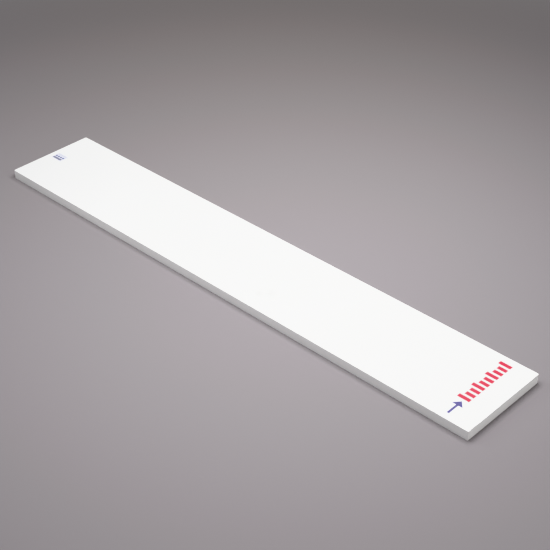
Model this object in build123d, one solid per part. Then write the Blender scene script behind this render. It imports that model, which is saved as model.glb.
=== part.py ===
"""Long-jump and triple-jump take-off board, in millimetres.

A core of five edge-glued timber staves lies sealed inside a white elastomer shell. Eight threaded
inserts in the underside take the screws that hold the board down in its tray, and applied film
marks lie on the top. Nothing on the board moves.

Frame: origin at the centre of the underside, +X along the board towards its marked end, +Y across
the board in the direction of the run-up, +Z up.
"""

import os

from build123d import *

# Board
BOARD_LENGTH = 1220.0
BOARD_WIDTH = 200.0
BOARD_THICKNESS = 20.0
CORNER_RADIUS = 2.0  # upright edges at the four corners
ARRIS_RADIUS = 0.5  # edges round the top and the underside
SHELL_THICKNESS = 1.0

# Timber core
STAVE_COUNT = 5
CORE_LENGTH = BOARD_LENGTH - 2 * SHELL_THICKNESS
CORE_WIDTH = BOARD_WIDTH - 2 * SHELL_THICKNESS
CORE_LOW = SHELL_THICKNESS
CORE_HIGH = BOARD_THICKNESS - SHELL_THICKNESS
STAVE_WIDTH = CORE_WIDTH / STAVE_COUNT
TONGUE_THICKNESS = 6.0
TONGUE_DEPTH = 5.0
GLUE_FILM = 0.05  # room for glue on each cheek of a tongue
GROOVE_FLOOR_GAP = 0.4  # room for glue past a tongue's end

# Flanged threaded inserts, for M8 screws
INSERT_PITCH_X = 360.0
INSERTS_ALONG = 4
INSERT_SPACING_Y = 160.0
INSERT_LENGTH = 12.0
FLANGE_RADIUS = 9.0
FLANGE_THICKNESS = SHELL_THICKNESS  # the flange closes the cut in the shell
INSERT_ROOT_RADIUS = 5.75
INSERT_CREST_RADIUS = 6.75
INSERT_BORE_RADIUS = 3.4  # tapping size of the M8 thread
RIB_COUNT = 4
RIB_PITCH = 2.5
RIB_BASE = 1.6
FIRST_RIB_HEIGHT = 2.8
HEX_ACROSS_FLATS = 8.0
HEX_DEPTH = 4.0
INSERT_SEAT_GAP = 0.05
DRILL_RUN_ON = 1.5  # the drilled hole past the insert's end

# Film marks on the top
FILM_THICKNESS = 0.15
FILM_CORNER_RADIUS = 0.6
TICKS = 10
TICK_WIDTH = 8.0
TICK_PITCH = 13.0
TICK_LOW_Y = -41.0
TICK_LOW_X = 548.0
TICK_HIGH_X = 567.0
LONG_TICK_EVERY = 3  # the first tick and every third one after it are long
LONG_TICK_EXTRA = 6.0  # how much further a long tick runs towards -X
ARROW_CENTRE_X = 557.0
ARROW_TAIL_Y = -86.0
ARROW_TIP_Y = -47.0
ARROW_HEAD_LENGTH = 13.0
ARROW_HEAD_WIDTH = 22.0
ARROW_SHAFT_WIDTH = 4.5
LABEL_CENTRE_X = -582.0
LABEL_CENTRE_Y = 3.0
LABEL_LENGTH = 34.0
LABEL_WIDTH = 24.0
LABEL_CORNER_RADIUS = 1.5
PRINT_THICKNESS = 0.1
PRINT_LENGTH = 27.0
PRINT_BAR_WIDTH = 6.0
PRINT_BAR_MARGIN = 2.4  # margins are measured from the label's -Y edge
PRINT_BLOCKS = 4
PRINT_BLOCK_LENGTH = 5.2
PRINT_BLOCK_WIDTH = 5.5
PRINT_BLOCK_MARGIN = 10.0
PRINT_RULE_WIDTH = 1.2
PRINT_RULE_MARGINS = (17.6, 20.4)

FROM_UNDERSIDE = (Align.CENTER, Align.CENTER, Align.MIN)


def span_box(x_span, y_span, z_span):
    """A box from its low and high values along each axis."""
    spans = (x_span, y_span, z_span)
    sizes = [high - low for low, high in spans]
    centre = [(low + high) / 2 for low, high in spans]
    return Pos(*centre) * Box(*sizes)


def board_block(inset, arris_radius=0.0):
    """The board's outline moved in by inset on every side, with rounded corners and arrises."""
    block = span_box(
        (-BOARD_LENGTH / 2 + inset, BOARD_LENGTH / 2 - inset),
        (-BOARD_WIDTH / 2 + inset, BOARD_WIDTH / 2 - inset),
        (inset, BOARD_THICKNESS - inset),
    )
    block = fillet(block.edges().filter_by(Axis.Z), CORNER_RADIUS - inset)
    if arris_radius > 0:
        block = fillet(block.faces().filter_by(Axis.Z).edges(), arris_radius)
    return block


def insert_places():
    """Centres of the threaded inserts on the underside."""
    first_x = -INSERT_PITCH_X * (INSERTS_ALONG - 1) / 2
    return [
        (first_x + column * INSERT_PITCH_X, side * INSERT_SPACING_Y / 2)
        for column in range(INSERTS_ALONG)
        for side in (-1, 1)
    ]


def insert_barrel(gap):
    """An insert's flange and ribbed outside, enlarged by gap, as one solid turned about Z."""
    root = INSERT_ROOT_RADIUS + gap
    crest = INSERT_CREST_RADIUS + gap
    flange = FLANGE_RADIUS + gap
    outline = [(0, 0), (flange, 0), (flange, FLANGE_THICKNESS), (root, FLANGE_THICKNESS)]
    for rib in range(RIB_COUNT):
        middle = FIRST_RIB_HEIGHT + rib * RIB_PITCH
        outline += [
            (root, middle - RIB_BASE / 2 - gap),
            (crest, middle),
            (root, middle + RIB_BASE / 2 + gap),
        ]
    outline += [(root, INSERT_LENGTH + gap), (0, INSERT_LENGTH + gap)]
    section = make_face(Plane.XZ * Polyline(*outline, close=True))
    return revolve(section, Axis.Z)


def threaded_insert():
    """A flanged insert with its screw bore and a hexagon socket in the mouth to drive it."""
    bore = Cylinder(INSERT_BORE_RADIUS, INSERT_LENGTH, align=FROM_UNDERSIDE)
    hexagon = RegularPolygon(HEX_ACROSS_FLATS / 2, 6, major_radius=False)
    return insert_barrel(0) - bore - extrude(hexagon, HEX_DEPTH)


def insert_seat():
    """What is cut away for one insert, with the drill's run-on past the insert's end."""
    drilled = Cylinder(INSERT_ROOT_RADIUS, INSERT_LENGTH + DRILL_RUN_ON, align=FROM_UNDERSIDE)
    return insert_barrel(INSERT_SEAT_GAP) + drilled


def core_stave(index, core, seats):
    """One stave: a groove in its -Y edge and a tongue on its +Y edge, where it has a neighbour."""
    low_y = -CORE_WIDTH / 2 + index * STAVE_WIDTH
    high_y = low_y + STAVE_WIDTH
    middle = (CORE_LOW + CORE_HIGH) / 2
    whole_x = (-CORE_LENGTH / 2, CORE_LENGTH / 2)
    half_tongue = TONGUE_THICKNESS / 2
    half_groove = half_tongue + GLUE_FILM
    stave = core & span_box(whole_x, (low_y, high_y), (CORE_LOW, CORE_HIGH))
    if index < STAVE_COUNT - 1:
        tongue_y = (high_y, high_y + TONGUE_DEPTH)
        stave += span_box(whole_x, tongue_y, (middle - half_tongue, middle + half_tongue))
    if index > 0:
        groove_y = (low_y, low_y + TONGUE_DEPTH + GROOVE_FLOOR_GAP)
        stave -= span_box(whole_x, groove_y, (middle - half_groove, middle + half_groove))
    for (x, y), seat in seats:
        if low_y < y < high_y:
            stave -= seat
    return stave


def white_shell(core, seats):
    """The sprayed shell that wraps the whole core, open only at the inserts."""
    shell = board_block(0, ARRIS_RADIUS) - core
    for _, seat in seats:
        shell -= seat
    return shell


def film(outline_points):
    """A piece of film on the top face, cut with slightly rounded corners."""
    outline = make_face(Polyline(*outline_points, close=True))
    outline = fillet(outline.vertices(), FILM_CORNER_RADIUS)
    return extrude(Pos(0, 0, BOARD_THICKNESS) * outline, FILM_THICKNESS)


def direction_arrow():
    """An arrow that points along +Y, the way the athlete runs."""
    neck_y = ARROW_TIP_Y - ARROW_HEAD_LENGTH
    half_head = ARROW_HEAD_WIDTH / 2
    half_shaft = ARROW_SHAFT_WIDTH / 2
    outline = [
        (ARROW_CENTRE_X - half_shaft, ARROW_TAIL_Y),
        (ARROW_CENTRE_X + half_shaft, ARROW_TAIL_Y),
        (ARROW_CENTRE_X + half_shaft, neck_y),
        (ARROW_CENTRE_X + half_head, neck_y),
        (ARROW_CENTRE_X, ARROW_TIP_Y),
        (ARROW_CENTRE_X - half_head, neck_y),
        (ARROW_CENTRE_X - half_shaft, neck_y),
    ]
    return film(outline)


def tick_marks():
    """A row of short and long ticks across the board, like a rule's."""
    ticks = []
    for tick in range(TICKS):
        low_x = TICK_LOW_X - (LONG_TICK_EXTRA if tick % LONG_TICK_EVERY == 0 else 0)
        low_y = TICK_LOW_Y + tick * TICK_PITCH
        high_y = low_y + TICK_WIDTH
        ticks.append(
            film([(low_x, low_y), (TICK_HIGH_X, low_y), (TICK_HIGH_X, high_y), (low_x, high_y)])
        )
    return Compound(children=ticks)


def inspection_label():
    """The plain film label near the unmarked end."""
    outline = RectangleRounded(LABEL_LENGTH, LABEL_WIDTH, LABEL_CORNER_RADIUS)
    place = Pos(LABEL_CENTRE_X, LABEL_CENTRE_Y, BOARD_THICKNESS)
    return extrude(place * outline, FILM_THICKNESS)


def label_print():
    """Raised ink on the label: a broad bar, a row of blocks and two fine rules."""
    low_x = LABEL_CENTRE_X - PRINT_LENGTH / 2
    edge_y = LABEL_CENTRE_Y - LABEL_WIDTH / 2
    low_z = BOARD_THICKNESS + FILM_THICKNESS

    def ink(offset_x, length, margin, width):
        return span_box(
            (low_x + offset_x, low_x + offset_x + length),
            (edge_y + margin, edge_y + margin + width),
            (low_z, low_z + PRINT_THICKNESS),
        )

    prints = [ink(0, PRINT_LENGTH, PRINT_BAR_MARGIN, PRINT_BAR_WIDTH)]
    block_pitch = (PRINT_LENGTH - PRINT_BLOCK_LENGTH) / (PRINT_BLOCKS - 1)
    for block in range(PRINT_BLOCKS):
        offset_x = block * block_pitch
        prints.append(ink(offset_x, PRINT_BLOCK_LENGTH, PRINT_BLOCK_MARGIN, PRINT_BLOCK_WIDTH))
    for margin in PRINT_RULE_MARGINS:
        prints.append(ink(0, PRINT_LENGTH, margin, PRINT_RULE_WIDTH))
    return Compound(children=prints)


def main():
    """Builds every piece and writes one STEP file for each node."""
    os.makedirs("parts", exist_ok=True)
    core = board_block(SHELL_THICKNESS)
    seats = [((x, y), Pos(x, y, 0) * insert_seat()) for x, y in insert_places()]
    pieces = {
        "white_shell": white_shell(core, seats),
        "direction_arrow": direction_arrow(),
        "tick_marks": tick_marks(),
        "inspection_label": inspection_label(),
        "label_print": label_print(),
    }
    for index in range(STAVE_COUNT):
        pieces[f"core_stave_{index + 1}"] = core_stave(index, core, seats)
    for number, (x, y) in enumerate(insert_places(), start=1):
        pieces[f"threaded_insert_{number}"] = Pos(x, y, 0) * threaded_insert()
    for name, piece in pieces.items():
        export_step(piece, f"parts/{name}.step")


main()
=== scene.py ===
"""Looks of a jump take-off board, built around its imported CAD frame.

The board is a laminated timber core sealed in a sprayed white elastomer skin, with film marks on
its running face and flanged threaded inserts in its underside. Lengths are in metres, in the CAD
frame: origin at the centre of the underside, +X along the board towards its marked end, +Y the
way the athlete runs, +Z up.
"""

import logging
import math
from collections.abc import Iterable
from dataclasses import dataclass
from enum import Enum
from typing import Any

import bmesh
import bpy
import numpy as np
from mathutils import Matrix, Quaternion, Vector


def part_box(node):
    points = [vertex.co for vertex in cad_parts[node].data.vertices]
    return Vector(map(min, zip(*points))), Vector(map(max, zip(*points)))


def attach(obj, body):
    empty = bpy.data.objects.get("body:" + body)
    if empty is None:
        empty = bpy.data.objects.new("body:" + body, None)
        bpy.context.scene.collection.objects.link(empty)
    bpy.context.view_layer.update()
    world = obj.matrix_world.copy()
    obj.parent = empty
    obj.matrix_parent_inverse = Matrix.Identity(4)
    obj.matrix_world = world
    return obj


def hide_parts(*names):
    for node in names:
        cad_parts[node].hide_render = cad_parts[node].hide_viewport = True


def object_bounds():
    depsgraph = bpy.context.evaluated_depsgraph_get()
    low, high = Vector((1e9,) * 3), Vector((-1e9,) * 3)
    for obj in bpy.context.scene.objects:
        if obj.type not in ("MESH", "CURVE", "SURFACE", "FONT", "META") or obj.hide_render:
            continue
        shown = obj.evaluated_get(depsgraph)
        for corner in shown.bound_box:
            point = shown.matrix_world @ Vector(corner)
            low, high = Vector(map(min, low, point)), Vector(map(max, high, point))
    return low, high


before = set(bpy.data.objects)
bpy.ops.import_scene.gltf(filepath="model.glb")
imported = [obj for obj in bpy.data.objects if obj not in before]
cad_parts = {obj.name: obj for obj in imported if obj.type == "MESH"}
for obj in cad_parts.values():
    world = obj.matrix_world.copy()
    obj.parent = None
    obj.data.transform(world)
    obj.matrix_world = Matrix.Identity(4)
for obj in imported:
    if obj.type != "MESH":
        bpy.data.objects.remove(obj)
CAD_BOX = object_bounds()

MM = 0.001
BODY = "root"
LOG = logging.getLogger("take_off_board")

Colour = tuple[float, float, float, float]


# Shared helpers


def linear(srgb: str) -> Colour:
    """Turns an sRGB hex colour into the linear one that shaders take.

    Args:
        srgb: The colour, such as "#F2F2F0".

    Returns:
        Linear red, green and blue, and an alpha of 1.
    """
    parts = [int(srgb[i : i + 2], 16) / 255 for i in (1, 3, 5)]
    red, green, blue = (
        part / 12.92 if part <= 0.04045 else ((part + 0.055) / 1.055) ** 2.4 for part in parts
    )
    return (red, green, blue, 1.0)


def add_node(
    tree: bpy.types.NodeTree,
    kind: str,
    sockets: dict[str | int, Any] | None = None,
    **settings: Any,
) -> bpy.types.Node:
    """Adds a shader node with its settings and links.

    Args:
        tree: The node tree to add to.
        kind: The node's type name.
        sockets: A value, or an output socket to link, for each input socket named or numbered.
        **settings: The node's own properties.

    Returns:
        The new node.
    """
    node = tree.nodes.new(kind)
    for name, value in settings.items():
        setattr(node, name, value)
    for key, value in (sockets or {}).items():
        if isinstance(value, bpy.types.NodeSocket):
            tree.links.new(value, node.inputs[key])
        else:
            node.inputs[key].default_value = value
    return node


def noise(
    tree: bpy.types.NodeTree,
    place: bpy.types.NodeSocket,
    grain_mm: float,
    detail: float = 2.0,
    roughness: float = 0.5,
) -> bpy.types.NodeSocket:
    """Smooth random values from 0 to 1.

    Args:
        tree: The node tree to add to.
        place: The point's place.
        grain_mm: Size of the largest features, in millimetres.
        detail: How many times finer features are added.
        roughness: How strong each finer set is, next to the one before it.

    Returns:
        The value at the point.
    """
    scale = 1 / (grain_mm * MM)
    sockets = {"Vector": place, "Scale": scale, "Detail": detail, "Roughness": roughness}
    return add_node(tree, "ShaderNodeTexNoise", sockets).outputs["Fac"]


def mix_colours(
    tree: bpy.types.NodeTree,
    share: bpy.types.NodeSocket,
    first: bpy.types.NodeSocket | Colour,
    second: bpy.types.NodeSocket | Colour,
) -> bpy.types.NodeSocket:
    """Mixes two colours.

    Args:
        tree: The node tree to add to.
        share: How much of the second colour there is, from 0 to 1.
        first: The colour where the share is 0.
        second: The colour where the share is 1.

    Returns:
        The mixed colour.
    """
    sockets = {0: share, 6: first, 7: second}
    return add_node(tree, "ShaderNodeMix", sockets, data_type="RGBA").outputs[2]


def spread(
    tree: bpy.types.NodeTree, value: bpy.types.NodeSocket, span: tuple[float, float]
) -> bpy.types.NodeSocket:
    """Spreads a value from 0 to 1 over a span.

    Args:
        tree: The node tree to add to.
        value: The value.
        span: What 0 and 1 become.

    Returns:
        The value in the span.
    """
    sockets = {"Value": value, "To Min": span[0], "To Max": span[1]}
    return add_node(tree, "ShaderNodeMapRange", sockets).outputs["Result"]


def ease(
    tree: bpy.types.NodeTree, value: bpy.types.NodeSocket, start: float, end: float
) -> bpy.types.NodeSocket:
    """Rises smoothly from 0 to 1 as a value goes from start to end.

    Args:
        tree: The node tree to add to.
        value: The value.
        start: The value that gives 0, as all those before it do.
        end: The value that gives 1, as all those after it do.

    Returns:
        The eased share.
    """
    sockets = {"Value": value, "From Min": start, "From Max": end}
    return add_node(
        tree, "ShaderNodeMapRange", sockets, interpolation_type="SMOOTHSTEP"
    ).outputs["Result"]


def relief(
    tree: bpy.types.NodeTree, height: bpy.types.NodeSocket, depth_mm: float, strength: float = 1.0
) -> bpy.types.NodeSocket:
    """Turns a height into a fine relief of the surface.

    Args:
        tree: The node tree to add to.
        height: The height, from 0 to 1.
        depth_mm: How deep the relief is, in millimetres.
        strength: How much of the relief the light shows.

    Returns:
        The surface's direction.
    """
    sockets = {"Height": height, "Distance": depth_mm * MM, "Strength": strength}
    return add_node(tree, "ShaderNodeBump", sockets).outputs["Normal"]


def new_material(name: str) -> tuple[bpy.types.Material, bpy.types.NodeTree, bpy.types.Node]:
    """Starts a material with only its surface shader and output.

    Args:
        name: The material's name.

    Returns:
        The material, its node tree and its Principled shader.
    """
    material = bpy.data.materials.new(name)
    material.use_nodes = True
    tree = material.node_tree
    tree.nodes.clear()
    shader = add_node(tree, "ShaderNodeBsdfPrincipled")
    add_node(tree, "ShaderNodeOutputMaterial", {"Surface": shader.outputs["BSDF"]})
    return material, tree, shader


def dress(piece: bpy.types.Object, material: bpy.types.Material) -> None:
    """Gives a piece this one material."""
    piece.data.materials.clear()
    piece.data.materials.append(material)


def grid_quads(rows: int, columns: int, closed_rows: bool) -> np.ndarray:
    """Numbers the quads of a grid of points whose columns run round and close.

    Point (r, c) has the number r * columns + c. Each quad joins a point to the next in its row,
    the one below that and the one below itself; the last column joins the first, and the last
    row joins the first where closed_rows is true.

    Args:
        rows: How many rows the grid has.
        columns: How many points each row has.
        closed_rows: Whether the rows run round too, as on a ring.

    Returns:
        One row of four point numbers for each quad.
    """
    row = np.arange(rows if closed_rows else rows - 1)[:, None]
    column = np.arange(columns)[None, :]
    beside, below = (column + 1) % columns, (row + 1) % rows
    corners = np.broadcast_arrays(
        row * columns + column,
        row * columns + beside,
        below * columns + beside,
        below * columns + column,
    )
    return np.stack(corners, axis=-1).reshape(-1, 4)


def make_mesh(name: str, points: np.ndarray, faces: np.ndarray, sharp_deg: float) -> bpy.types.Mesh:
    """Makes a smooth-shaded mesh from arrays, welded and with its sharp edges marked.

    Args:
        name: The mesh's name.
        points: One row of x, y and z for each vertex.
        faces: One row of vertex numbers for each face.
        sharp_deg: Edges where the faces turn by more than this stay sharp.

    Returns:
        The new mesh.
    """
    mesh = bpy.data.meshes.new(name)
    mesh.from_pydata(points.tolist(), [], faces.tolist())
    weld_and_shade(mesh, sharp_deg)
    return mesh


def weld_and_shade(mesh: bpy.types.Mesh, sharp_deg: float) -> None:
    """Joins vertices that coincide, then shades the mesh smooth between its sharp edges.

    Args:
        mesh: The mesh to change.
        sharp_deg: Edges where the faces turn by more than this stay sharp.
    """
    weld_distance = 0.002 * MM
    shaped = bmesh.new()
    shaped.from_mesh(mesh)
    bmesh.ops.remove_doubles(shaped, verts=shaped.verts, dist=weld_distance)
    bmesh.ops.dissolve_degenerate(shaped, edges=shaped.edges, dist=weld_distance)
    shaped.to_mesh(mesh)
    shaped.free()
    mesh.shade_smooth()
    mesh.set_sharp_from_angle(angle=math.radians(sharp_deg))


def place_piece(
    name: str, mesh: bpy.types.Mesh, nodes: Iterable[str]
) -> bpy.types.Object:
    """Puts a finished mesh in the scene as a piece of the board.

    Args:
        name: The piece's name.
        mesh: Its mesh, in the CAD frame.
        nodes: The CAD nodes that it stands for.

    Returns:
        The piece.
    """
    piece = bpy.data.objects.new(name, mesh)
    bpy.context.scene.collection.objects.link(piece)
    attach(piece, BODY)
    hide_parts(*nodes)
    LOG.info("%s: %d faces", name, len(mesh.polygons))
    return piece


# Finishes


class Ink(Enum):
    """Colours of the film and the print, as they look under white light."""

    VIOLET = "#5C578C"
    RED = "#C53C52"
    SLATE = "#82849A"
    BLUE = "#70759E"
    PALE_BLUE = "#AEB3C9"


@dataclass(frozen=True)
class SprayedElastomer:
    """White polyurea sprayed on warm and left to level: a satin, very slightly pebbled skin.

    The eye gets a clean even white with soft broad reflections, a faint unevenness where the
    spray passes met, a darker far corner that is painted shade of the light falling away towards
    that end, and two smudges too faint to notice at first. The pebble is about 1.5 mm on the
    real skin, and it is drawn at 5 mm, because the finer one would not show.

    Attributes:
        shaded_corner: The corner towards which the skin is darkened as painted shade.
        shade_reach: How far from the corner the painted shade goes.
        smudges: Centre and radius of each smudge on the running face.
    """

    shaded_corner: Vector
    shade_reach: float
    smudges: tuple[tuple[Vector, float], ...]
    white: str = "#F9F9F9"
    # Painted shade: the grey that the skin darkens to towards its far -X, -Y corner.
    overlap_white: str = "#F6F6F5"
    painted_shade_grey: str = "#E8E8E8"
    smudge_grey: str = "#E4E4E3"
    ior: float = 1.5
    roughness: tuple[float, float] = (0.42, 0.52)
    pebble_mm: float = 5.0
    pebble_depth_mm: float = 0.02
    spray_pass_mm: float = 140.0

    def nearness(
        self, tree: bpy.types.NodeTree, place: bpy.types.NodeSocket, centre: Vector, reach: float
    ) -> bpy.types.NodeSocket:
        """How near a point is to a centre: 1 at the centre, easing to 0 at reach and beyond.

        Args:
            tree: The node tree to add to.
            place: The point's place.
            centre: The centre.
            reach: The distance at which it comes to 0.

        Returns:
            The nearness.
        """
        away = add_node(
            tree, "ShaderNodeVectorMath", {0: place, 1: centre}, operation="DISTANCE"
        ).outputs["Value"]
        return ease(tree, away, start=reach, end=0.0)

    def material(self) -> bpy.types.Material:
        """Builds the skin's material."""
        material, tree, shader = new_material("sprayed_white_elastomer")
        place = add_node(tree, "ShaderNodeTexCoord").outputs["Object"]
        passes = noise(tree, place, self.spray_pass_mm, detail=3.0)
        pebble = noise(tree, place, self.pebble_mm, roughness=0.45)
        tint = mix_colours(tree, passes, linear(self.overlap_white), linear(self.white))
        # The far corner's darkening is painted shade; the smudges are real marks.
        shade_and_smudges = [(self.shaded_corner, self.shade_reach, self.painted_shade_grey)]
        shade_and_smudges += [(centre, radius, self.smudge_grey) for centre, radius in self.smudges]
        for centre, reach, colour in shade_and_smudges:
            near = self.nearness(tree, place, centre, reach)
            tint = mix_colours(tree, near, tint, linear(colour))
        gloss = spread(tree, passes, self.roughness)
        pebbled = relief(tree, pebble, self.pebble_depth_mm)
        shader.inputs["IOR"].default_value = self.ior
        tree.links.new(tint, shader.inputs["Base Color"])
        tree.links.new(gloss, shader.inputs["Roughness"])
        tree.links.new(pebbled, shader.inputs["Normal"])
        return material


@dataclass(frozen=True)
class PlanedTimber:
    """Kiln-dried pine planed for gluing: pale early wood with darker late-wood lines.

    The eye gets long lines along the stave that bend into arches, 4 mm apart, and a fine fibre.
    Each stave comes from its own part of the log, and its heart side is turned the other way
    from its neighbours', so that the lines stop at every glue line.

    Attributes:
        early_wood: The pale wood between the lines.
        late_wood: The darker wood of the lines.
        ior: Index of refraction of the bare wood.
        roughness: Roughness of the planed face.
        ring_mm: Distance from one line to the next.
        ring_turn: How far apart the wave texture's rings are at a Scale of 1.
        fibre_mm: Width of the fibre.
        fibre_depth_mm: Depth of the fibre.
        stretch: Scale of the pattern along the stave, next to 1 across it.
        log_step: How much further along the log each stave comes from than the last.
        heart_aside: Sideways place of the log's heart, and its step from one place to the next.
        heart_below: Depth of the log's heart, and how much it grows with each stave.
        shade_step: How much darker each next shade of stave is.
    """

    early_wood: str = "#D9B98A"
    late_wood: str = "#B08550"
    ior: float = 1.5
    roughness: float = 0.6
    ring_mm: float = 4.0
    ring_turn: float = 0.32
    fibre_mm: float = 0.7
    fibre_depth_mm: float = 0.05
    stretch: float = 0.05
    log_step: float = 0.31
    heart_aside: tuple[float, float] = (-0.09, 0.05)
    heart_below: tuple[float, float] = (0.05, 0.008)
    shade_step: float = 0.04

    def material(self, number: int) -> bpy.types.Material:
        """Builds the material of one stave.

        Args:
            number: The stave's number, which picks its part of the log.

        Returns:
            The stave's material.
        """
        heart_side = math.pi * (number % 2)
        aside = self.heart_aside[0] + self.heart_aside[1] * (2 * number % 5)
        below = self.heart_below[0] + self.heart_below[1] * number
        shade = 1 - self.shade_step * (3 * number % 4)
        early, late = (
            tuple(channel * shade for channel in linear(wood)[:3]) + (1.0,)
            for wood in (self.early_wood, self.late_wood)
        )
        material, tree, shader = new_material(f"planed_pine_{number}")
        place = add_node(tree, "ShaderNodeTexCoord").outputs["Object"]
        log_place = add_node(
            tree,
            "ShaderNodeMapping",
            {
                "Vector": place,
                "Location": (self.log_step * number, aside, below),
                "Rotation": (heart_side, 0.0, 0.0),
                "Scale": (self.stretch, 1.0, 1.0),
            },
        ).outputs["Vector"]
        rings = add_node(
            tree,
            "ShaderNodeTexWave",
            {
                "Vector": log_place,
                "Scale": self.ring_turn / (self.ring_mm * MM),
                "Distortion": 3.0,
                "Detail": 3.0,
                "Detail Scale": 0.6,
            },
            wave_type="RINGS",
            rings_direction="X",
        ).outputs["Fac"]
        fibre = noise(tree, log_place, self.fibre_mm)
        shader.inputs["IOR"].default_value = self.ior
        shader.inputs["Roughness"].default_value = self.roughness
        tree.links.new(mix_colours(tree, rings, early, late), shader.inputs["Base Color"])
        fibrous = relief(tree, fibre, self.fibre_depth_mm, strength=0.6)
        tree.links.new(fibrous, shader.inputs["Normal"])
        return material


@dataclass(frozen=True)
class ZincPlatedSteel:
    """Turned steel under bright zinc plate: a grey metal with a faint warm bloom.

    The eye gets a slight cloudiness, in patches about 6 mm across, that is warmer and duller
    where the passivation is thicker. The lathe's rings, 0.3 mm apart on the real part, are too
    fine to show and are left out.
    """

    zinc: str = "#BFC1C2"
    bloom: str = "#B9B29C"
    roughness: tuple[float, float] = (0.26, 0.42)
    bloom_mm: float = 6.0

    def material(self) -> bpy.types.Material:
        """Builds the inserts' material."""
        material, tree, shader = new_material("zinc_plated_steel")
        place = add_node(tree, "ShaderNodeTexCoord").outputs["Object"]
        cloud = noise(tree, place, self.bloom_mm, detail=4.0)
        tint = mix_colours(tree, cloud, linear(self.zinc), linear(self.bloom))
        gloss = spread(tree, cloud, self.roughness)
        shader.inputs["Metallic"].default_value = 1.0
        tree.links.new(tint, shader.inputs["Base Color"])
        tree.links.new(gloss, shader.inputs["Roughness"])
        return material


@dataclass(frozen=True)
class VinylFilm:
    """Cast vinyl film pressed on by hand: one even colour under a satin face.

    The eye gets a saturated mark that is a little glossier than the skin round it, with slight
    waves, 8 mm apart, where it was smoothed down. The colour is a little fuller, by wave_shade,
    on the crests of the waves.
    """

    ink: Ink
    ior: float = 1.5
    roughness: tuple[float, float] = (0.3, 0.4)
    wave_mm: float = 8.0
    wave_depth_mm: float = 0.02
    wave_shade: float = 0.93

    def material(self) -> bpy.types.Material:
        """Builds the film's material."""
        material, tree, shader = new_material(f"{self.ink.name.lower()}_vinyl_film")
        place = add_node(tree, "ShaderNodeTexCoord").outputs["Object"]
        waves = noise(tree, place, self.wave_mm)
        colour = linear(self.ink.value)
        fuller = tuple(channel * self.wave_shade for channel in colour[:3]) + (1.0,)
        tint = mix_colours(tree, waves, colour, fuller)
        gloss = spread(tree, waves, self.roughness)
        waved = relief(tree, waves, self.wave_depth_mm)
        shader.inputs["IOR"].default_value = self.ior
        tree.links.new(tint, shader.inputs["Base Color"])
        tree.links.new(gloss, shader.inputs["Roughness"])
        tree.links.new(waved, shader.inputs["Normal"])
        return material


@dataclass(frozen=True)
class LabelFilm:
    """Printable polyester label stock: a cool white, smoother than the skin under it."""

    white: str = "#F1F1F5"
    cool_white: str = "#ECECF3"
    ior: float = 1.5
    roughness: float = 0.28
    cloud_mm: float = 10.0

    def material(self) -> bpy.types.Material:
        """Builds the label's material."""
        material, tree, shader = new_material("polyester_label_film")
        place = add_node(tree, "ShaderNodeTexCoord").outputs["Object"]
        cloud = noise(tree, place, self.cloud_mm, detail=1.0)
        tint = mix_colours(tree, cloud, linear(self.white), linear(self.cool_white))
        shader.inputs["IOR"].default_value = self.ior
        shader.inputs["Roughness"].default_value = self.roughness
        tree.links.new(tint, shader.inputs["Base Color"])
        return material


@dataclass(frozen=True)
class PrintedInk:
    """Screen-printed ink on the label: a slate bar, blue blocks and pale rules.

    The colour changes across the label, from its -Y side to its +Y side, where one band of
    print ends and the next begins, and a fine speckle breaks it as the mesh does.
    """

    blue_from_y: float
    pale_from_y: float
    roughness: float = 0.5
    mesh_mm: float = 0.8
    mesh_depth_mm: float = 0.01

    def material(self) -> bpy.types.Material:
        """Builds the print's material."""
        material, tree, shader = new_material("label_print_ink")
        place = add_node(tree, "ShaderNodeTexCoord").outputs["Object"]
        across = add_node(tree, "ShaderNodeSeparateXYZ", {"Vector": place}).outputs["Y"]
        past_bar = add_node(
            tree, "ShaderNodeMath", {0: across, 1: self.blue_from_y}, operation="GREATER_THAN"
        ).outputs["Value"]
        past_blocks = add_node(
            tree, "ShaderNodeMath", {0: across, 1: self.pale_from_y}, operation="GREATER_THAN"
        ).outputs["Value"]
        lower = mix_colours(tree, past_bar, linear(Ink.SLATE.value), linear(Ink.BLUE.value))
        whole = mix_colours(tree, past_blocks, lower, linear(Ink.PALE_BLUE.value))
        speckle = relief(tree, noise(tree, place, self.mesh_mm), self.mesh_depth_mm)
        shader.inputs["Roughness"].default_value = self.roughness
        tree.links.new(whole, shader.inputs["Base Color"])
        tree.links.new(speckle, shader.inputs["Normal"])
        return material


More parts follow.
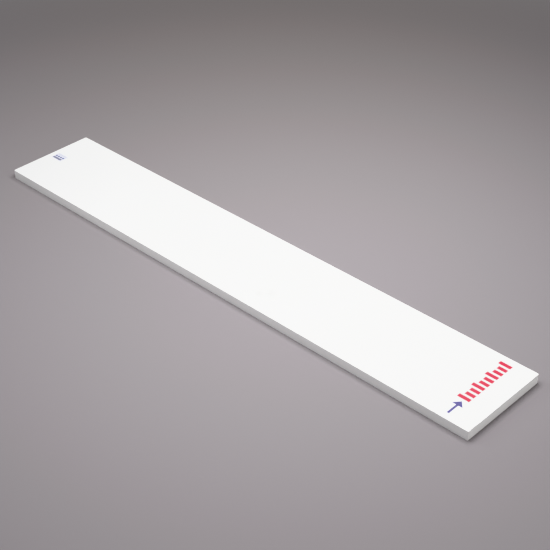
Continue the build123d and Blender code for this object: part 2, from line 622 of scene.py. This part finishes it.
@dataclass(frozen=True)
class BackdropPaper:
    """Seamless grey studio paper off a wide roll, with a pale studio floor round it.

    The eye gets a darker grey either side of a middle line, which is painted shade of the lights
    falling away from the board and of the lens's vignetting, a slightly warmer grey towards the
    back, and a fibre too faint to see as a pattern. Well away from the board the grey gives way
    softly to the pale floor, which meets the air evenly.

    Attributes:
        middle_grey: The paper on the middle line.
        side_painted_shade_grey: The paper half_width from that line and beyond, as painted shade.
        warmer_back_grey: The slightly warmer paper half_width behind the board's middle and beyond.
        pale_floor: The floor past the paper.
        roughness: Roughness of the paper and the floor.
        fibre_mm: Size of the paper's largest unevenness.
        fibre_depth_mm: Its depth.
        shade_line_turn_deg: Direction across the middle line, in degrees from +X.
        half_width: Distance over which the grey changes.
        paper_reach: Where the paper begins to give way to the floor, and where it has ended.
    """

    middle_grey: str = "#8A8588"
    side_painted_shade_grey: str = "#7C787B"
    warmer_back_grey: str = "#8C8686"
    pale_floor: str = "#EDECEB"
    roughness: float = 0.95
    fibre_mm: float = 30.0
    fibre_depth_mm: float = 0.05
    shade_line_turn_deg: float = 40.6
    half_width: float = 1.0
    paper_reach: tuple[float, float] = (1.2, 3.0)

    def material(self) -> bpy.types.Material:
        """Builds the paper's material."""
        material, tree, shader = new_material("grey_backdrop_paper")
        place = add_node(tree, "ShaderNodeTexCoord").outputs["Object"]
        turned = add_node(
            tree,
            "ShaderNodeMapping",
            {
                "Vector": place,
                "Rotation": (0.0, 0.0, -math.radians(self.shade_line_turn_deg)),
                "Scale": (1 / self.half_width,) * 3,
            },
        ).outputs["Vector"]
        place_by_shade_line = add_node(tree, "ShaderNodeSeparateXYZ", {"Vector": turned})
        across, along = place_by_shade_line.outputs["X"], place_by_shade_line.outputs["Y"]
        squared = add_node(
            tree, "ShaderNodeMath", {0: across, 1: across}, operation="MULTIPLY"
        ).outputs["Value"]
        toward_back = add_node(tree, "ShaderNodeMapRange", {"Value": along}).outputs["Result"]
        # Painted shade: the grey darkens with the square of the distance from the middle line, for
        # the lights falling away and the lens's vignetting.
        painted_side_darkening = add_node(tree, "ShaderNodeMapRange", {"Value": squared}).outputs["Result"]
        inner = mix_colours(tree, toward_back, linear(self.middle_grey), linear(self.warmer_back_grey))
        paper = mix_colours(tree, painted_side_darkening, inner, linear(self.side_painted_shade_grey))
        away = add_node(
            tree, "ShaderNodeVectorMath", {0: place}, operation="LENGTH"
        ).outputs["Value"]
        past_paper = ease(tree, away, *self.paper_reach)
        tint = mix_colours(tree, past_paper, paper, linear(self.pale_floor))
        fibre = relief(tree, noise(tree, place, self.fibre_mm, detail=6.0), self.fibre_depth_mm)
        shader.inputs["Roughness"].default_value = self.roughness
        tree.links.new(tint, shader.inputs["Base Color"])
        tree.links.new(fibre, shader.inputs["Normal"])
        return material


# Sub-assemblies


@dataclass
class Knock:
    """A small dent where the board was once dropped against something.

    Attributes:
        centre: The deepest point, on the outline.
        push: How far and which way the skin gives there.
        reach: The distance at which the dent runs out.
    """

    centre: Vector
    push: Vector
    reach: float

    def apply(self, points: np.ndarray) -> np.ndarray:
        """Moves points by push times (1 - (distance / reach) squared) squared within reach."""
        away = np.linalg.norm(points - np.array(self.centre), axis=1) / self.reach
        share = np.clip(1 - away**2, 0, None) ** 2
        return points + share[:, None] * np.array(self.push)


@dataclass
class SprayedSkin:
    """The white elastomer skin: a hollow wall all round the core, open only at the inserts.

    Attributes:
        low: The skin's lowest corner.
        high: Its highest corner.
        wall: Thickness of the sprayed layer.
        corner: Radius of the four upright edges.
        arris: Radius of the edges round the running face and the underside.
        run_steps: Steps along each long side and each end.
        arc_steps: Steps round each corner and each arris.
        flat_steps: Steps from each arris to the middle of its face.
        seat_facets: Points round each opening for an insert.
        sharp_deg: Edges where the skin turns by more than this stay sharp.
    """

    low: Vector
    high: Vector
    wall: float = 1.0 * MM
    corner: float = 2.0 * MM
    arris: float = 0.5 * MM
    run_steps: tuple[int, int] = (120, 120)
    arc_steps: int = 8
    flat_steps: int = 15
    seat_facets: int = 64
    sharp_deg: float = 30.0

    def outline(self) -> tuple[np.ndarray, np.ndarray, np.ndarray]:
        """Describes a rounded rectangle by shares, so that one set of columns fits every inset.

        The outline starts at the -Y end of the +X side and runs counter-clockwise: a straight
        run, then a quarter turn, four times. Points of a run are closer together near its ends,
        by half a cosine wave.

        Returns:
            For each column, its share of the half length, its share of the half width, and the
            direction in which the outline faces there, in radians.
        """
        share_x, share_y, facing = [], [], []
        turn = np.linspace(0, math.pi / 2, self.arc_steps + 1)
        for side in range(4):
            steps = self.run_steps[(side + 1) % 2]
            run = -np.cos(np.linspace(0, math.pi, steps + 1))[1:-1]
            angle = side * math.pi / 2
            ahead = (round(math.cos(angle)), round(math.sin(angle)))
            along = (-ahead[1], ahead[0])
            share_x += [ahead[0] + along[0] * run, np.full(turn.size, ahead[0] + along[0])]
            share_y += [ahead[1] + along[1] * run, np.full(turn.size, ahead[1] + along[1])]
            facing += [np.full(run.size, angle), angle + turn]
        return np.concatenate(share_x), np.concatenate(share_y), np.concatenate(facing)

    def profile(self, depth: float) -> tuple[np.ndarray, np.ndarray]:
        """Half section of the surface that lies depth inside the outside of the skin.

        From the middle of the underside it runs outwards, round the arris by a quarter circle,
        up the side, and back to the middle of the top in the same way. On the flats the inset
        grows with the square of the step, so the rings are closest at the arris.

        Args:
            depth: Distance inside the outside of the skin.

        Returns:
            The inset from the outline and the height of each ring.
        """
        arris = max(self.arris - depth, 0.0)
        inmost = (self.high.y - self.low.y) / 2
        quarter = np.linspace(0, math.pi / 2, self.arc_steps + 1)
        flat = np.linspace(0, 1, self.flat_steps + 1)[1:] ** 2
        inset = np.concatenate(
            [depth + arris * (1 - np.cos(quarter)), depth + arris + flat * (inmost - depth - arris)]
        )
        drop = np.concatenate([arris * (1 - np.sin(quarter)), np.zeros(flat.size)])
        middle, reach = (self.high.z + self.low.z) / 2, (self.high.z - self.low.z) / 2 - depth
        height = np.concatenate([middle - reach + drop[::-1], middle + reach - drop])
        return np.concatenate([inset[::-1], inset]), height

    def surface(self, depth: float) -> tuple[np.ndarray, np.ndarray]:
        """The closed surface that lies depth inside the outside of the skin.

        Each ring of the profile is carried round the outline. At inset d the corners are arcs of
        radius (corner - d), about centres that stay put until the radius is nought and then
        move in with the inset.

        Args:
            depth: Distance inside the outside of the skin.

        Returns:
            The points, and the quads that join them, facing outwards.
        """
        share_x, share_y, facing = self.outline()
        inset, height = (values[:, None] for values in self.profile(depth))
        half_length, half_width = (self.high.x - self.low.x) / 2, (self.high.y - self.low.y) / 2
        centre = np.maximum(self.corner, inset)
        radius = centre - inset
        x = share_x * (half_length - centre) + radius * np.cos(facing)
        y = share_y * (half_width - centre) + radius * np.sin(facing)
        z = np.broadcast_to(height, x.shape)
        points = np.stack([x, y, z], axis=-1).reshape(-1, 3)
        return points, grid_quads(*x.shape, closed_rows=False)

    def knocks(self) -> list[Knock]:
        """The one knock that the board has, on the top edge of its marked end."""
        from_corner, reach = 14 * MM, 12 * MM
        push = Vector((-0.85 * MM, 0.0, -0.35 * MM))
        return [Knock(Vector((self.high.x, self.low.y + from_corner, self.high.z)), push, reach)]

    def build(self, seats: list[Vector], seat_radius: float) -> bpy.types.Object:
        """Builds the skin with a round opening over each insert's flange.

        Args:
            seats: Centres of the inserts on the underside.
            seat_radius: Radius of the openings.

        Returns:
            The skin.
        """
        outer, quads = self.surface(0.0)
        inner, inner_quads = self.surface(self.wall)
        for knock in self.knocks():
            outer = knock.apply(outer)
        points = np.concatenate([outer, inner])
        faces = np.concatenate([quads, inner_quads[:, ::-1] + len(outer)])
        mesh = make_mesh("board_skin", points, faces, self.sharp_deg)
        self.open_seats(mesh, seats, seat_radius)
        skin = place_piece("board_skin", mesh, ["white_shell"])
        dress(skin, self.finish().material())
        return skin

    def finish(self) -> SprayedElastomer:
        """The skin's finish, painted shade at its -X, -Y corner and smudges past the middle."""
        top = self.high.z
        corner = Vector((self.low.x, self.low.y, top))
        smudges = (
            (Vector((0.098, -0.060, top)), 12 * MM),
            (Vector((0.114, -0.045, top)), 16 * MM),
        )
        return SprayedElastomer(shaded_corner=corner, shade_reach=300 * MM, smudges=smudges)

    def open_seats(self, mesh: bpy.types.Mesh, seats: list[Vector], radius: float) -> None:
        """Cuts a round hole through the underside's wall at each seat.

        Args:
            mesh: The skin's mesh, which is changed.
            seats: Centres of the holes.
            radius: Their radius.
        """
        through = 3 * self.wall  # the cutters' height, half of it above the underside
        cutters = bmesh.new()
        for seat in seats:
            made = bmesh.ops.create_cone(
                cutters,
                cap_ends=True,
                segments=self.seat_facets,
                radius1=radius,
                radius2=radius,
                depth=through,
            )
            bmesh.ops.translate(cutters, verts=made["verts"], vec=(seat.x, seat.y, self.low.z))
        cutter_mesh = bpy.data.meshes.new("seat_cutters")
        cutters.to_mesh(cutter_mesh)
        cutters.free()
        blank = bpy.data.objects.new("skin_blank", mesh)
        tool = bpy.data.objects.new("seat_cutters", cutter_mesh)
        for part in (blank, tool):
            bpy.context.scene.collection.objects.link(part)
        cut = blank.modifiers.new("seats", "BOOLEAN")
        cut.operation, cut.solver, cut.object = "DIFFERENCE", "EXACT", tool
        ready = blank.evaluated_get(bpy.context.evaluated_depsgraph_get())
        opened = bpy.data.meshes.new_from_object(ready)
        shaped = bmesh.new()
        shaped.from_mesh(opened)
        shaped.to_mesh(mesh)
        shaped.free()
        for part in (blank, tool):
            bpy.data.objects.remove(part)
        bpy.data.meshes.remove(cutter_mesh)
        bpy.data.meshes.remove(opened)
        weld_and_shade(mesh, self.sharp_deg)


@dataclass
class ThreadedInsert:
    """A flanged insert: a coarse wood thread outside, an M8 thread and a hexagon socket inside.

    Attributes:
        low: The insert's lowest corner.
        high: Its highest corner.
        turn: How far round it was driven, in radians.
        flange_depth: Thickness of the flange.
        root: Radius of the barrel between the turns of the wood thread.
        crest: Radius over the wood thread.
        wood_pitch: Rise of the wood thread in one turn.
        bore: Radius over the crests of the M8 thread.
        bore_root: Radius at the bottom of the M8 thread.
        bore_pitch: Rise of the M8 thread in one turn.
        flats: Width of the hexagon socket across its flats.
        socket_depth: Its depth.
        chamfer: Bevel at the flange's rim, the socket's mouth and the barrel's tip.
        steepness: How much steeper a thread's flanks are than a plain triangle wave's.
        land: How far the wave is lowered, so that the root between two turns is flat.
        facets: Points round the insert.
        thread_rows: Points along each of its threads.
        sharp_deg: Edges where the insert turns by more than this stay sharp.
    """

    low: Vector
    high: Vector
    turn: float
    flange_depth: float = 1.0 * MM
    root: float = 5.75 * MM
    crest: float = 6.75 * MM
    wood_pitch: float = 2.5 * MM
    bore: float = 3.4 * MM
    bore_root: float = 4.0 * MM
    bore_pitch: float = 1.25 * MM
    flats: float = 8.0 * MM
    socket_depth: float = 4.0 * MM
    chamfer: float = 0.25 * MM
    steepness: float = 1.6
    land: float = 0.5
    facets: int = 60
    thread_rows: int = 70
    sharp_deg: float = 35.0

    def thread(
        self, height: np.ndarray, angle: np.ndarray, pitch: float, span: tuple[float, float]
    ) -> np.ndarray:
        """Height of a helical ridge, from 0 at the root to 1 at the crest.

        The ridge is a triangle wave of the height in pitches less the angle in turns, times the
        steepness, less the land, kept between 0 and 1. It fades in and out over half a pitch at
        the ends of its span.

        Args:
            height: Height of each point.
            angle: Angle of each point.
            pitch: Rise of the thread in one turn.
            span: The heights between which the thread runs.

        Returns:
            The share of the ridge at each point.
        """
        phase = (height / pitch - (angle - self.turn) / (2 * math.pi)) % 1.0
        ridge = 1 - np.abs(2 * phase - 1)
        sharpened = np.clip(self.steepness * ridge - self.land, 0, 1)
        fade_in = np.clip((height - span[0]) / (pitch / 2), 0, 1)
        fade_out = np.clip((span[1] - height) / (pitch / 2), 0, 1)
        return sharpened * fade_in * fade_out

    def surface(self) -> np.ndarray:
        """The insert's whole surface as a ring of sections, each a loop round the wall.

        At each angle the loop runs over the flange, up the wood thread, over the tip, down the
        M8 thread, out to the hexagon socket and down to the mouth. The socket's radius is the
        half width across its flats divided by the cosine of the angle from the flat's middle.

        Returns:
            A grid of points: one row for each place on the loop, one column for each angle.
        """
        angle = np.linspace(0, 2 * math.pi, self.facets, endpoint=False)[None, :]
        length = self.high.z - self.low.z
        rim = (self.high.x - self.low.x) / 2
        bevel = self.chamfer
        up = np.linspace(self.flange_depth + bevel, length - 2 * bevel, self.thread_rows)[:, None]
        down = np.linspace(length - 2 * bevel, self.socket_depth + bevel, self.thread_rows)[:, None]
        barrel = self.root + (self.crest - self.root) * self.thread(
            up, angle, self.wood_pitch, (up[0, 0], up[-1, 0])
        )
        tapped = self.bore + (self.bore_root - self.bore) * self.thread(
            down, angle, self.bore_pitch, (down[-1, 0], down[0, 0])
        )
        sixth = math.pi / 3
        hexagon = self.flats / 2 / np.cos((angle - self.turn) % sixth - sixth / 2)
        loop = [
            (rim - bevel, 0.0),
            (rim, bevel),
            (rim, self.flange_depth - bevel),
            (rim - bevel, self.flange_depth),
            (self.root, self.flange_depth),
            (barrel, up),
            (self.root - bevel, length),
            (self.bore_root + bevel, length),
            (tapped, down),
            (self.bore, self.socket_depth),
            (hexagon, self.socket_depth),
            (hexagon, bevel),
            (hexagon + bevel, 0.0),
        ]
        radius = np.concatenate([np.broadcast_to(r, (np.size(z), self.facets)) for r, z in loop])
        height = np.concatenate(
            [np.broadcast_to(np.reshape(z, (-1, 1)), (np.size(z), self.facets)) for _, z in loop]
        )
        centre = (self.low + self.high) / 2
        x = centre.x + radius * np.cos(angle)
        y = centre.y + radius * np.sin(angle)
        return np.stack([x, y, self.low.z + height], axis=-1)

    def build(self, node: str, material: bpy.types.Material) -> bpy.types.Object:
        """Builds the insert in place of its CAD node.

        Args:
            node: The CAD node that it stands for.
            material: Its metal.

        Returns:
            The insert.
        """
        grid = self.surface()
        faces = grid_quads(*grid.shape[:2], closed_rows=True)
        mesh = make_mesh(f"{node}_body", grid.reshape(-1, 3), faces, self.sharp_deg)
        piece = place_piece(f"{node}_body", mesh, [node])
        dress(piece, material)
        return piece


@dataclass
class LaminatedCore:
    """The five glued staves, which keep their CAD shapes."""

    prefix: str = "core_stave_"

    def build(self) -> None:
        """Gives each stave the grain of its own part of the log."""
        timber = PlanedTimber()
        staves = sorted(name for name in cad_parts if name.startswith(self.prefix))
        for number, name in enumerate(staves, start=1):
            dress(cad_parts[name], timber.material(number))
            LOG.info("%s: dressed", name)


@dataclass
class Inserts:
    """The eight threaded inserts in the underside."""

    prefix: str = "threaded_insert_"
    seat_gap: float = 0.05 * MM
    golden_turn: float = 2.4  # radians from one insert's final turn to the next one's

    def names(self) -> list[str]:
        """The inserts' CAD nodes, in order."""
        return sorted(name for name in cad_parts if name.startswith(self.prefix))

    def seats(self) -> tuple[list[Vector], float]:
        """Centres of the seats in the skin, and the seats' radius."""
        boxes = [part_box(name) for name in self.names()]
        centres = [(low + high) / 2 for low, high in boxes]
        flange = (boxes[0][1].x - boxes[0][0].x) / 2
        return centres, flange + self.seat_gap

    def build(self) -> None:
        """Builds each insert, driven to its own final turn."""
        metal = ZincPlatedSteel().material()
        for number, name in enumerate(self.names()):
            ThreadedInsert(*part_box(name), turn=self.golden_turn * number).build(name, metal)


@dataclass
class Marks:
    """The film marks, the label and its print, which keep their CAD shapes.

    Attributes:
        bar_reach: How far across the label the bar's colour goes, from the label's -Y edge.
        blocks_reach: How far the blocks' colour goes.
    """

    bar_reach: float = 9 * MM
    blocks_reach: float = 17 * MM

    def build(self) -> None:
        """Dresses each mark in its own film or ink."""
        label_low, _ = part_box("inspection_label")
        finishes = {
            "direction_arrow": VinylFilm(Ink.VIOLET).material(),
            "tick_marks": VinylFilm(Ink.RED).material(),
            "inspection_label": LabelFilm().material(),
            "label_print": PrintedInk(
                blue_from_y=label_low.y + self.bar_reach,
                pale_from_y=label_low.y + self.blocks_reach,
            ).material(),
        }
        for name, material in finishes.items():
            dress(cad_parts[name], material)
            LOG.info("%s: dressed", name)


@dataclass
class Camera:
    """The view over the near corner of the marked end.

    Attributes:
        azimuth: Turn round the board, in degrees; 0 looks along +Y and 90 along -X.
        elevation: Height above the horizon, in degrees.
        roll: Lean of the camera, in degrees, anticlockwise seen from behind it.
        aim: The point in the middle of the view.
        distance: How far the camera stands from it.
        lens: Focal length in millimetres, on a sensor 36 mm wide.
    """

    aim: Vector
    azimuth: float = 44.254
    elevation: float = 35.243
    roll: float = -0.658
    distance: float = 2.3923
    lens: float = 81.55

    def build(self) -> bpy.types.Object:
        """Makes the camera and puts it in charge of the scene."""
        turn, rise = math.radians(self.azimuth), math.radians(self.elevation)
        back = Vector(
            (math.sin(turn) * math.cos(rise), -math.cos(turn) * math.cos(rise), math.sin(rise))
        )
        data = bpy.data.cameras.new("camera")
        data.lens, data.sensor_width = self.lens, 36.0
        camera = bpy.data.objects.new("camera", data)
        camera.location = self.aim + back * self.distance
        camera.rotation_mode = "QUATERNION"
        lean = Quaternion((0, 0, 1), math.radians(self.roll))
        camera.rotation_quaternion = (-back).to_track_quat("-Z", "Y") @ lean
        bpy.context.scene.collection.objects.link(camera)
        bpy.context.scene.camera = camera
        return camera


@dataclass
class Softbox:
    """A large soft light.

    Attributes:
        name: Its name.
        place: Where it hangs.
        aim: The point that it faces.
        size: Its width and height.
        power: Its power in watts.
        colour: The light's colour as sRGB hex.
    """

    name: str
    place: Vector
    aim: Vector
    size: tuple[float, float]
    power: float
    colour: str = "#FFFFFF"

    def build(self) -> bpy.types.Object:
        """Hangs the light, out of the camera's sight."""
        data = bpy.data.lights.new(self.name, "AREA")
        data.shape = "RECTANGLE"
        data.size, data.size_y = self.size
        data.energy = self.power
        data.color = linear(self.colour)[:3]
        light = bpy.data.objects.new(self.name, data)
        light.location = self.place
        light.rotation_mode = "QUATERNION"
        light.rotation_quaternion = (self.aim - self.place).to_track_quat("-Z", "Y")
        light.visible_camera = False
        bpy.context.scene.collection.objects.link(light)
        return light


@dataclass
class Studio:
    """A plain floor, soft light and the camera.

    Attributes:
        centre: The middle of the board.
        aim_offset: Where the camera aims, from the middle of the board.
        floor_reach: How far the floor goes each way.
        floor_gap: How far the floor lies below the underside, to keep it out of its plane.
        air_strength: Strength of the even light from all round.
    """

    centre: Vector
    aim_offset: tuple[float, float, float] = (0.0677, 0.0130, -0.0001)
    floor_reach: float = 20.0
    floor_gap: float = 0.02 * MM
    air_strength: float = 0.367

    def build(self) -> None:
        """Lays the floor, hangs the lights and sets the camera and the tone of the picture."""
        self.lay_floor()
        for softbox in self.softboxes():
            softbox.build()
        self.fill_air()
        Camera(aim=self.centre + Vector(self.aim_offset)).build()
        bpy.context.scene.view_settings.view_transform = "Khronos PBR Neutral"

    def softboxes(self) -> list[Softbox]:
        """The three lights: one right over the board, a fill off each end.

        The overhead one hangs low, so that it leaves the floor round the board darker and gives
        a shadow only at the board's foot; the one past the marked end lights that end's face.
        """
        over, under = Vector((0.155, 0.09, 1.1)), Vector((0.155, 0.09, 0.0))
        middle, marked_end = Vector((0.0, 0.0, 0.0)), Vector((0.3, 0.0, 0.0))
        return [
            Softbox("overhead", over, under, (0.8, 0.97), 18.3),
            Softbox(
                "marked_end_fill", Vector((2.2, 0.3, 1.2)), marked_end, (0.8, 1.5), 10.9, "#FFFEFA"
            ),
            Softbox("far_end_fill", Vector((-1.3, -0.72, 1.2)), middle, (0.8, 0.8), 9.3),
        ]

    def lay_floor(self) -> None:
        """Makes the paper floor, level with the underside of the board."""
        level = CAD_BOX[0].z - self.floor_gap
        signs = ((-1, -1), (1, -1), (1, 1), (-1, 1))
        corners = [(x * self.floor_reach, y * self.floor_reach, level) for x, y in signs]
        mesh = bpy.data.meshes.new("studio_floor")
        mesh.from_pydata(corners, [], [(0, 1, 2, 3)])
        floor = bpy.data.objects.new("studio_floor", mesh)
        bpy.context.scene.collection.objects.link(floor)
        dress(floor, BackdropPaper().material())

    def fill_air(self) -> None:
        """Fills the studio with a weak even light."""
        world = bpy.data.worlds.new("studio_air")
        world.use_nodes = True
        tree = world.node_tree
        tree.nodes.clear()
        air = add_node(
            tree,
            "ShaderNodeBackground",
            {"Color": linear("#FFFFFF"), "Strength": self.air_strength},
        )
        add_node(tree, "ShaderNodeOutputWorld", {"Surface": air.outputs["Background"]})
        bpy.context.scene.world = world


def main() -> None:
    """Builds the board's sub-assemblies in order, then the studio round it."""
    logging.basicConfig(level=logging.INFO, format="%(name)s: %(message)s")
    Studio(centre=(CAD_BOX[0] + CAD_BOX[1]) / 2).build()
    LaminatedCore().build()
    inserts = Inserts()
    inserts.build()
    SprayedSkin(*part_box("white_shell")).build(*inserts.seats())
    Marks().build()


if __name__ == "__main__":
    main()
